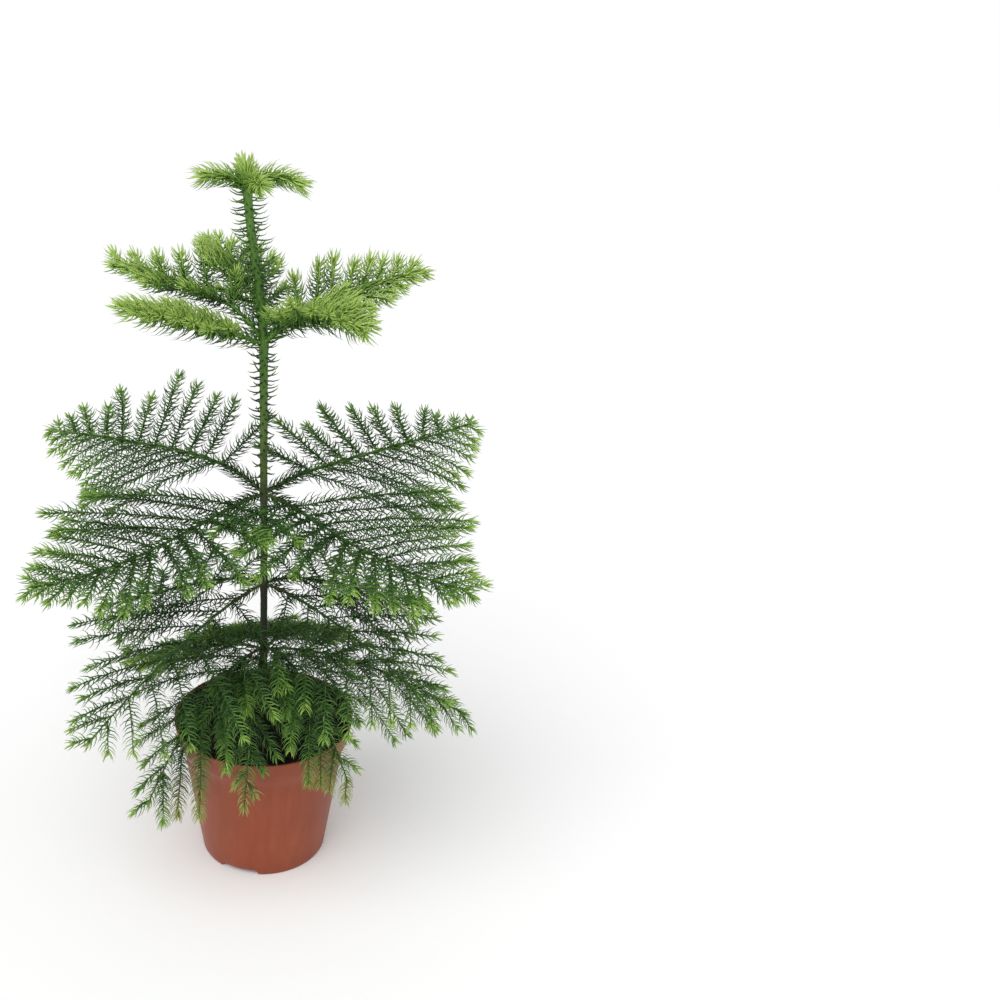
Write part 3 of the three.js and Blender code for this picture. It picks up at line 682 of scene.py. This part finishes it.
def sprayCurve(branch, t, hand, vary, scale):
    side = sideOf(branch, hand)
    along, left, above = frameOf(lambda q: branchPoint(branch, q), t)
    share = ((t - branch["start"]) / (1 - branch["start"])) ** plant["angleEase"]
    angle = math.radians(side["angle"] + (branch["tipAngle"] - side["angle"]) * share
                         + plant["angleVariety"] * vary[1])
    tilt = math.radians(side["tilt"] + plant["tiltVariety"] * vary[2])
    length = scale * side["length"] * lengthShare(side, branch, t) * (1 + plant["lengthVariety"] * vary[0])
    length -= plant["needleReach"]
    outward = hand * math.cos(tilt) * left + math.sin(tilt) * above
    heading = math.cos(angle) * along + math.sin(angle) * outward
    sway = plant["swayVariety"] * vary[3] * np.cross(heading, above)
    root = branchPoint(branch, t)
    pull = branch["bend"] * along + sway - np.array([0, 0, side["sag"]])

    def curve(u):
        u = np.asarray(u, float)[..., None]
        return root + length * (u * heading + u * u * pull)
    return curve, length


def hitsSomething(points):
    r = np.hypot(points[:, 0], points[:, 1])
    z = points[:, 2]
    wall = np.array([potWallRadius(min(h, pot["height"])) for h in z])
    inSoil = (z < plant["soilTop"] + clearance["above"]) & (r < wall + clearance["outside"])
    inWall = (z < pot["height"] + clearance["above"]) & (
        np.abs(r - wall + 0.5 * pot["wall"]) < clearance["wall"])
    fromTrunk = (points - trunkCentre(z))[:, :2]
    inTrunk = np.hypot(fromTrunk[:, 0], fromTrunk[:, 1]) < clearance["trunk"]
    return bool((inSoil | inWall | inTrunk)[clearance["rootSamples"]:].any())


def needleLooks(*sources):  # each value from the last source that has it
    looks = {"tone": 0.0, "fresh": 1.0, "dense": 1.0}
    for source in sources:
        looks.update({name: source[name] for name in looks if name in source})
    return looks


def growShoots():  # every needle-clad shoot: its curve, length, whorl and kind
    random = np.random.default_rng(plant["seed"])
    shoots = []
    for plan in branches:
        habit = plan["habit"]
        branch = {**habit, **plan}
        for side in ("closed", "open"):
            branch[side] = {**habit[side], **plan.get(side, {})}
        bare = branch["bare"]
        clad = 1 - plant["needleReach"] / branch["reach"] - bare

        def stem(u, branch=branch, bare=bare, clad=clad):
            return branchPoint(branch, bare + clad * np.asarray(u, float))
        shoots.append(dict(curve=stem, length=branch["reach"] * clad, whorl=branch["whorl"], kind="stem",
                           branch=branch, along=1.0, stretch=branch.get("stretch", 1.0),
                           **needleLooks(branch)))
        for hand in (1, -1):
            side = sideOf(branch, hand)
            count = side.get("sprays", 0)
            for i in range(count):
                step = (branch["last"] - branch["start"]) / (count - 1)
                t = branch["start"] + step * (i + (plant["handOffset"] if hand > 0 else 0))
                vary = random.uniform(-1, 1, 4)
                if t > bare + clad:
                    continue
                for scale in plant["shrinkTo"]:
                    curve, length = sprayCurve(branch, t, hand, vary, scale)
                    if length < plant["shortestSpray"]:
                        break
                    if not hitsSomething(curve(np.linspace(0, 1, clearance["samples"]))):
                        shoots.append(dict(curve=curve, length=length, whorl=branch["whorl"], kind="spray",
                                           branch=branch, along=t, **needleLooks(branch, side)))
                        break
    tip = plant["top"] - plant["leaderNeedles"] - plant["trunkTop"]
    shoots.append(dict(curve=lambda u: trunkCentre(plant["trunkTop"] + tip * np.asarray(u, float)),
                       length=tip, whorl=1, kind="leader", branch=None, along=1.0, **needleLooks()))
    return shoots


# Trunk and boughs

bark = {
    "trunkSunk": 1.5,  # how far it goes down into the soil
    "trunkRingEvery": 4.0,
    "trunkSides": 14,
    "trunkWrinkles": 0.5,
    "trunkColoured": (0.095, 0.488),  # from and to which height in metres
    "trunkColours": ((0.0, "#252910"), (0.45, "#2B3013"), (0.56, "#50652A"), (0.7, "#4A7024"),
                     (0.86, "#4A7228"), (1.0, "#5E8834")),
    "boughRings": 9,
    "boughSides": 8,
    "boughFrom": 1.5,  # distance from the trunk's axis
    "boughPast": 3.0,  # how far it goes on into its twig
    "boughFlare": 1.25,
    "boughWrinkles": 0.25,
    "boughColoured": (0.15, 0.39),
    "boughColours": ((0.0, "#443E22"), (0.4, "#4C4D28"), (0.6, "#48602A"), (1.0, "#6C9A3C")),
    "rounding": 2,
    "wrinkleSize": 2.2,
    "wrinkleDetail": 2,
}


def growLimb(path, radii, sides):  # a tapering limb, extruded ring by ring along its path
    path = [Vector(point) * mm for point in path]
    heading = (path[1] - path[0]).to_track_quat("Z", "Y")
    bpy.ops.object.select_all(action="DESELECT")
    bpy.ops.mesh.primitive_circle_add(vertices=sides, radius=radii[0] * mm, fill_type="NGON",
                                      location=path[0], rotation=heading.to_euler())
    limb = bpy.context.object
    bpy.ops.object.transform_apply()
    bpy.ops.object.mode_set(mode="EDIT")
    bpy.ops.mesh.select_all(action="SELECT")
    for k in range(1, len(path)):
        bpy.ops.mesh.extrude_region_move(TRANSFORM_OT_translate={"value": path[k] - path[k - 1]})
        grow = radii[k] / radii[k - 1]
        bpy.ops.transform.resize(value=(grow, grow, grow), center_override=path[k])
    bpy.ops.mesh.select_all(action="SELECT")
    bpy.ops.mesh.normals_make_consistent(inside=False)
    bpy.ops.object.mode_set(mode="OBJECT")
    return limb


def barkRelief(limb, strength):
    smooth = limb.modifiers.new("rounding", "SUBSURF")
    smooth.levels = bark["rounding"]
    smooth.render_levels = bark["rounding"]
    texture = bpy.data.textures.new("barkWrinkles", "CLOUDS")
    texture.noise_scale = bark["wrinkleSize"] * mm
    texture.noise_depth = bark["wrinkleDetail"]
    wrinkle = limb.modifiers.new("wrinkles", "DISPLACE")
    wrinkle.texture = texture
    wrinkle.texture_coords = "LOCAL"
    wrinkle.strength = strength * mm
    wrinkle.mid_level = 0.5
    bpy.context.view_layer.objects.active = limb
    bpy.ops.object.modifier_apply(modifier="rounding")
    bpy.ops.object.modifier_apply(modifier="wrinkles")
    bpy.ops.object.shade_smooth()


def buildTrunk():
    foot = plant["soilTop"] - bark["trunkSunk"]
    heights = list(np.arange(foot, plant["trunkTop"], bark["trunkRingEvery"])) + [plant["trunkTop"]]
    radii = [trunkRadius(max(h, plant["soilTop"])) for h in heights]
    trunk = growLimb(trunkCentre(heights), radii, bark["trunkSides"])
    barkRelief(trunk, bark["trunkWrinkles"])
    green = youngBark("youngBark", bark["trunkColours"], *bark["trunkColoured"])
    finishPiece(trunk, "trunkBark", green, ["trunk"])
    print("trunk:", len(trunk.data.polygons), "faces")


def stemsOf(shoots, whorl):  # the branches of one whorl
    return [shoot["branch"] for shoot in shoots if shoot["kind"] == "stem" and shoot["whorl"] == whorl]


def buildBoughs(shoots):
    olive = youngBark("oliveBark", bark["boughColours"], *bark["boughColoured"])
    for whorl in (2, 3, 4, 5):
        limbs = []
        for branch in stemsOf(shoots, whorl):
            start = bark["boughFrom"] / branch["reach"]
            end = branch["bare"] + bark["boughPast"] / branch["reach"]
            path = branchPoint(branch, np.linspace(start, end, bark["boughRings"]))
            radii = np.linspace(bark["boughFlare"], 1.0, bark["boughRings"]) * twigs[whorl]["stemBase"]
            limbs.append(growLimb(path, list(radii), bark["boughSides"]))
        bpy.ops.object.select_all(action="DESELECT")
        for limb in limbs:
            limb.select_set(True)
        bpy.context.view_layer.objects.active = limbs[0]
        bpy.ops.object.join()
        barkRelief(limbs[0], bark["boughWrinkles"])
        finishPiece(limbs[0], f"boughs{whorl}", olive, nodesNamed(f"bough{whorl}_"))
    print("boughs ready")


# Twigs: radii of the stems and of the sprays at root and tip

twigs = {
    1: dict(stemBase=1.6, stemTip=0.9, base=1.0, tip=0.6, colour="#6E9A38"),
    2: dict(stemBase=1.25, stemTip=0.7, base=0.7, tip=0.4, colour="#557F30"),
    3: dict(stemBase=1.1, stemTip=0.5, base=0.55, tip=0.3, colour="#31541F"),
    4: dict(stemBase=1.0, stemTip=0.45, base=0.5, tip=0.28, colour="#2E4E1C"),
    5: dict(stemBase=0.9, stemTip=0.45, base=0.5, tip=0.28, colour="#2F4C1D"),
}
twigTubes = {"sides": 6, "ringEvery": 4.0, "fewestRings": 3, "point": 1.5, "roughness": 0.55}


def twigTube(shoot):
    sizes = twigs[shoot["whorl"]]
    base, tip = sizes["stemBase"], sizes["stemTip"]
    if shoot["kind"] == "spray":
        base, tip = sizes["base"], sizes["tip"]
    rings = max(twigTubes["fewestRings"], int(shoot["length"] / twigTubes["ringEvery"]))
    u = np.linspace(0, 1, rings)
    along, left, above = frameOf(shoot["curve"], u)
    sides = twigTubes["sides"]
    turn = np.arange(sides) * 2 * math.pi / sides
    around = np.cos(turn)[None, :, None] * left[:, None] + np.sin(turn)[None, :, None] * above[:, None]
    radius = (base + (tip - base) * u)[:, None, None]
    centres = shoot["curve"](u)
    points = (centres[:, None] + radius * around).reshape(-1, 3)
    tipPoint = centres[-1] + twigTubes["point"] * tip * along[-1]
    points = np.vstack([points, centres[:1], tipPoint[None]])
    side = np.arange(sides)
    following = (side + 1) % sides
    ring = np.stack([side, following, sides + following, sides + side], -1)
    quads = [k * sides + ring for k in range(rings - 1)]
    end = (rings - 1) * sides
    first = np.stack([following, side, np.full(sides, rings * sides)], -1)
    last = np.stack([end + side, end + following, np.full(sides, rings * sides + 1)], -1)
    return points, np.vstack(quads), np.vstack([first, last])


def foliageNodes(whorl):
    return nodesNamed(f"foliage{whorl}_") + (["leader"] if whorl == 1 else [])


def buildTwigs(shoots):
    for whorl in whorlHeight:
        points, quads, triangles = [], [], []
        start = 0
        for shoot in shoots:
            if shoot["whorl"] != whorl:
                continue
            tubePoints, tubeQuads, tubeTriangles = twigTube(shoot)
            points.append(tubePoints)
            quads.append(tubeQuads + start)
            triangles.append(tubeTriangles + start)
            start += len(tubePoints)
        piece = meshPiece(f"twigs{whorl}", np.vstack(points), np.vstack(quads), np.vstack(triangles))
        material = plainGreen(f"greenTwig{whorl}", twigs[whorl]["colour"], twigTubes["roughness"])
        finishPiece(piece, f"twigs{whorl}", material, foliageNodes(whorl))
    print("twigs:", len(shoots), "shoots")


# Needles: curved awls, three-sided, set round each shoot by the golden angle

goldenAngle = math.radians(137.508)
tones = ("#0C190A", "#1D3812", "#2A4A1B", "#3D6227", "#557E33", "#729A40", "#8FB44F", "#AECC68",
         "#4C5626", "#6E7838", "#98A252")  # the last three are olive, for sprays that hang low: painted bounce light off the pot
toneNames = ("Shade", "Deep", "Dark", "Mid", "Leaf", "Fresh", "Bright", "Lime",
             "PotBounce", "PotBounceMid", "PotBounceTip")
greenTones = 8
# pitch: length of shoot for each needle. spread: degrees from the shoot. tipLength: as part of the full
# length. tipZone: over this distance from the tip they close up and shorten. comb: how strongly they
# part to the two sides. curl: of a spray's needles. tone: counts through the tones above. tipTone,
# outTone: how much fresher they are at a shoot's tip and on the outer shoots. topTone: painted light,
# how much lighter they are on top of a shoot, where the light falls.
needles = {
    1: dict(pitch=0.18, length=14.0, width=1.3, spread=78, tipSpread=54, tipLength=0.85, tipZone=4.0,
            comb=0.0, tone=4.1, tipTone=3.1, topTone=1.0, outTone=0.8, slot="lime_needles"),
    2: dict(pitch=0.41, length=15.0, width=1.3, spread=82, tipSpread=50, tipLength=0.54, tipZone=6.0,
            comb=0.0, curl=0.5, tone=3.7, tipTone=2.8, topTone=1.8, outTone=1.8, slot="bright_needles"),
    3: dict(pitch=0.63, length=13.0, width=1.22, spread=79, tipSpread=44, tipLength=0.52, tipZone=6.5,
            comb=0.2, tone=2.5, tipTone=2.0, topTone=0.5, outTone=1.3, slot="green_needles"),
    4: dict(pitch=0.8, length=13.5, width=1.2, spread=84, tipSpread=48, tipLength=0.5, tipZone=6.5,
            comb=0.4, tone=2.3, tipTone=1.9, topTone=0.4, outTone=1.8, slot="dark_needles"),
    5: dict(pitch=0.5, length=12.5, width=1.05, spread=80, tipSpread=46, tipLength=0.5, tipZone=6.5,
            comb=0.35, tone=2.3, tipTone=2.0, topTone=0.6, outTone=1.2, slot="dark_needles"),
}
shade = {  # painted shade: needles low over the soil, near the axis, get darker tones
    "below": 140.0,
    "full": 108.0,
    "radius": 67.0,
    "depth": 3.0,
    "darkestFrom": 0.3,  # from this share of shade on, the darkest tone is used too
}
potBounce = {"below": 110.0, "halfWidth": 58.0}  # and those that hang before the wall get the olive tones: painted bounce light off the pot
needleShape = {
    "ringsAt": (0.0, 0.38, 0.72),
    "ringWidth": (1.0, 0.86, 0.56),
    "cornersDeg": (90, 210, 330),
    "thickness": 0.7,  # as part of the width
    "curl": 0.42,  # how far a needle curves towards the shoot's tip
    "trunkCurl": 0.28,
    "flatten": 0.8,  # needles above and below stand a little closer to the sides
    "rootOut": 0.25,  # distance of its root from the shoot's axis
    "bareRoot": 1.5,  # bare length at the root of a spray
    "rootShort": 0.2,  # at a shoot's root the needles are this part shorter,
    "rootZone": 8.0,  # over this distance
    "tuft": 6,  # extra needles at a shoot's tip,
    "tuftZone": 2.5,  # over this distance
    "shortTuft": 6.0,  # a shoot shorter than this counts as this long there
    "freshZone": 15.0,  # over this distance from the tip they turn fresh
    "sprayFresh": 1.4,  # and so much from root to tip
    "stemFresh": 0.6,
    "startTurn": 6.28,
    "turnVariety": 0.25,
    "spreadVariety": 6.0,
    "lengthVariety": 0.12,
    "widthRange": (0.85, 1.15),
    "toneVariety": 0.45,
}


def awls(roots, headings, sides, tipward, lengths, widths, curl=needleShape["curl"]):
    # corners of many needles at once: rings of three corners, then the point
    normal = unit(np.cross(sides, headings))
    corners = []
    for s, share in zip(needleShape["ringsAt"], needleShape["ringWidth"]):
        centre = roots + lengths[:, None] * (headings * (s - curl * s * s) + tipward * (curl * s * s))
        for turn in needleShape["cornersDeg"]:
            across = math.cos(math.radians(turn)) * sides
            thick = needleShape["thickness"] * math.sin(math.radians(turn)) * normal
            corners.append(centre + 0.5 * share * widths[:, None] * (across + thick))
    corners.append(roots + lengths[:, None] * (headings * (1 - curl) + tipward * curl))
    return np.stack(corners, 1)


def awlFaces():
    quads = []
    for ring in (0, 3):
        for k in range(3):
            following = (k + 1) % 3
            quads.append((ring + k, ring + following, ring + 3 + following, ring + 3 + k))
    triangles = [(2, 1, 0)] + [(6 + k, 6 + (k + 1) % 3, 9) for k in range(3)]
    return np.array(quads), np.array(triangles)


def needlePiece(name, corners, material, nodes):  # one piece from the corners of its needles
    quads, triangles = awlFaces()
    count, each = corners.shape[:2]
    piece = meshPiece(name, corners.reshape(-1, 3), repeated(quads, count, each),
                      repeated(triangles, count, each))
    finishPiece(piece, name, material, nodes)


def clothe(shoot, random):  # the needles of one shoot: their corners and their tones
    style = needles[shoot["whorl"]]
    onSpray = shoot["kind"] == "spray"
    length = shoot["length"]
    count = int(length * shoot["dense"] / style["pitch"])
    tuftStart = 1 - needleShape["tuftZone"] / max(length, needleShape["shortTuft"])
    tuft = np.linspace(tuftStart, 1, needleShape["tuft"])
    u = np.concatenate([(np.arange(count) + 0.5) / count, tuft])
    if onSpray:
        u = u[u * length > needleShape["bareRoot"]]
    n = len(u)
    along, left, above = frameOf(shoot["curve"], u)
    turn = np.arange(n) * goldenAngle + random.uniform(0, needleShape["startTurn"])
    turn = turn + random.normal(0, needleShape["turnVariety"], n)
    turn = turn - style["comb"] * np.sin(2 * turn)
    outward = unit(np.cos(turn)[:, None] * left + needleShape["flatten"] * np.sin(turn)[:, None] * above)
    toTip = (1 - u) * length
    young = np.exp(-toTip / style["tipZone"])
    spread = style["spread"] + (style["tipSpread"] - style["spread"]) * young
    spread = np.radians(spread + random.normal(0, needleShape["spreadVariety"], n))
    headings = np.cos(spread)[:, None] * along + np.sin(spread)[:, None] * outward
    sides = unit(np.cross(outward, along))
    grown = np.clip(u * length / needleShape["rootZone"], 0, 1)
    reach = style["length"] * (1 - needleShape["rootShort"] + needleShape["rootShort"] * grown)
    reach = reach * (1 - (1 - style["tipLength"]) * young)
    reach = reach * shoot.get("stretch", 1.0) * random.normal(1, needleShape["lengthVariety"], n)
    widths = style["width"] * random.uniform(*needleShape["widthRange"], n)
    roots = shoot["curve"](u) + needleShape["rootOut"] * outward
    curl = style["curl"] if onSpray and "curl" in style else needleShape["curl"]
    corners = awls(roots, unit(headings), sides, along, reach, widths, curl)

    fresh = needleShape["sprayFresh"] if onSpray else needleShape["stemFresh"]
    tipTone = style["tipTone"] * shoot["fresh"]
    tone = style["tone"] + fresh * u ** 2 + tipTone * np.exp(-toTip / needleShape["freshZone"])
    # painted light: topTone makes the needles on top of a shoot lighter
    tone = tone + style["topTone"] * outward[:, 2] + style["outTone"] * (shoot["along"] - 0.5)
    tone = tone + shoot["tone"]
    # painted shade: needles low over the soil, within the shade's radius, step down in tone, down to the
    # darkest
    fromAxis = np.hypot(roots[:, 0], roots[:, 1])
    low = np.clip((shade["below"] - roots[:, 2]) / (shade["below"] - shade["full"]), 0, 1)
    tone = tone - shade["depth"] * low * (fromAxis < shade["radius"])
    variety = needleShape["toneVariety"]
    tone = tone + variety * random.uniform(-1, 1) + random.normal(0, variety, n)
    darkest = np.where(low > shade["darkestFrom"], 0, 1)
    picked = np.clip(np.round(tone), darkest, greenTones - 1).astype(int)
    # painted bounce light: needles that hang low before the pot's wall take the olive tones
    olive = (fromAxis > pot["rimRadius"]) & (roots[:, 2] < potBounce["below"]) & (
        np.abs(roots[:, 0]) < potBounce["halfWidth"])
    return corners, np.where(olive, greenTones + np.clip(picked - 3, 0, 2), picked)


def buildNeedles(shoots):
    random = np.random.default_rng(plant["seed"] + 1)
    greens = [plainGreen(f"waxyNeedle{name}", colour) for name, colour in zip(toneNames, tones)]
    total = 0
    for whorl in whorlHeight:
        clothed = [clothe(shoot, random) for shoot in shoots if shoot["whorl"] == whorl]
        corners = np.concatenate([c for c, t in clothed])
        tone = np.concatenate([t for c, t in clothed])
        for k, toneName in enumerate(toneNames):
            chosen = corners[tone == k]
            if len(chosen):
                needlePiece(f"needles{whorl}{toneName}", chosen, greens[k],
                            foliageNodes(whorl))
        total += len(corners)
    print("needles:", total)
    return greens


# Needles on the trunk and on the boughs

trunkNeedles = {
    "from": 225.0,
    "belowTop": 2.0,
    "step": 0.62,  # height from one needle to the next
    "densityHeights": (285.0, 310.0, 370.0, 420.0),
    "density": (0.3, 0.6, 0.7, 1.0),
    "length": 15.0,
    "lowLength": 8.5,
    "longFrom": 290.0,  # from this height, and over this distance, they reach their full length
    "longOver": 130.0,
    "lengthVariety": 0.08,
    "width": 1.7,
    "sunk": 0.4,
    "rise": -10.0,  # degrees above level at its root
    "riseVariety": 12.0,
    "turnVariety": 0.2,
    "toneHeights": (290.0, 400.0, 480.0),
    "tones": (2.2, 3.0, 4.3),
    "toneVariety": 0.8,
    "tonesUsed": (2, 3, 4, 5),
}
boughNeedles = {
    "pitch": {2: 0.45, 3: 0.36, 4: 0.55, 5: 1.0},
    "tone": {2: 4, 3: 2, 4: 2, 5: 2},
    "from": 3.2,  # distance from the trunk's axis
    "startTurn": 6.0,
    "spread": 60.0,
    "spreadVariety": 7.0,
    "lengthRange": (0.7, 0.95),  # as part of the foliage's needles
    "rootOut": 0.6,  # as part of the stem's radius
}


def buildTrunkNeedles(greens, random):
    height = np.arange(trunkNeedles["from"], plant["trunkTop"] - trunkNeedles["belowTop"],
                       trunkNeedles["step"])
    dense = np.interp(height, trunkNeedles["densityHeights"], trunkNeedles["density"])
    height = height[random.uniform(0, 1, len(height)) < dense]
    n = len(height)
    turn = np.arange(n) * goldenAngle + random.normal(0, trunkNeedles["turnVariety"], n)
    outward = np.stack([np.cos(turn), np.sin(turn), 0 * turn], -1)
    radius = np.array([trunkRadius(h) for h in height])
    roots = trunkCentre(height) + outward * (radius - trunkNeedles["sunk"])[:, None]
    up = np.tile([0.0, 0.0, 1.0], (n, 1))
    rise = np.radians(trunkNeedles["rise"] + random.normal(0, trunkNeedles["riseVariety"], n))
    headings = np.cos(rise)[:, None] * outward + np.sin(rise)[:, None] * up
    young = np.clip((height - trunkNeedles["longFrom"]) / trunkNeedles["longOver"], 0, 1)
    reach = trunkNeedles["lowLength"] + (trunkNeedles["length"] - trunkNeedles["lowLength"]) * young
    reach = reach * random.normal(1, trunkNeedles["lengthVariety"], n)
    widths = trunkNeedles["width"] * random.uniform(*needleShape["widthRange"], n)
    sides = unit(np.cross(up, outward))
    corners = awls(roots, headings, sides, up, reach, widths, needleShape["trunkCurl"])
    tone = np.interp(height, trunkNeedles["toneHeights"], trunkNeedles["tones"])
    tone = tone + random.normal(0, trunkNeedles["toneVariety"], n)
    used = trunkNeedles["tonesUsed"]
    tone = np.clip(np.round(tone), used[0], used[-1])
    for k in used:
        needlePiece(f"stemNeedles{toneNames[k]}", corners[tone == k], greens[k],
                    ["trunk"])
    print("trunk needles:", n)


def buildBoughNeedles(greens, shoots, random):  # dense on the young whorl, thinner on the older ones
    for whorl, pitch in boughNeedles["pitch"].items():
        parts = []
        for branch in stemsOf(shoots, whorl):
            count = int(branch["bare"] * branch["reach"] / pitch)
            t = branch["bare"] * (np.arange(count) + 0.5) / count
            t = t[t * branch["reach"] > boughNeedles["from"]]
            n = len(t)
            along, left, above = frameOf(lambda q: branchPoint(branch, q), t)
            turn = np.arange(n) * goldenAngle + random.uniform(0, boughNeedles["startTurn"])
            outward = np.cos(turn)[:, None] * left + np.sin(turn)[:, None] * above
            spread = boughNeedles["spread"] + random.normal(0, boughNeedles["spreadVariety"], n)
            spread = np.radians(spread)[:, None]
            headings = np.cos(spread) * along + np.sin(spread) * outward
            rootOut = boughNeedles["rootOut"] * twigs[whorl]["stemBase"]
            roots = branchPoint(branch, t) + rootOut * outward
            reach = needles[whorl]["length"] * random.uniform(*boughNeedles["lengthRange"], n)
            widths = np.full(n, needles[whorl]["width"])
            parts.append(awls(roots, headings, unit(np.cross(outward, along)), along, reach, widths))
        green = greens[boughNeedles["tone"][whorl]]
        needlePiece(f"boughNeedles{whorl}", np.concatenate(parts), green,
                    nodesNamed(f"bough{whorl}_"))
    print("bough needles ready")


buildStudio()
buildPot()
buildSoil()
shoots = growShoots()
buildTrunk()
buildBoughs(shoots)
buildTwigs(shoots)
greens = buildNeedles(shoots)
random = np.random.default_rng(plant["seed"] + 2)
buildTrunkNeedles(greens, random)
buildBoughNeedles(greens, shoots, random)
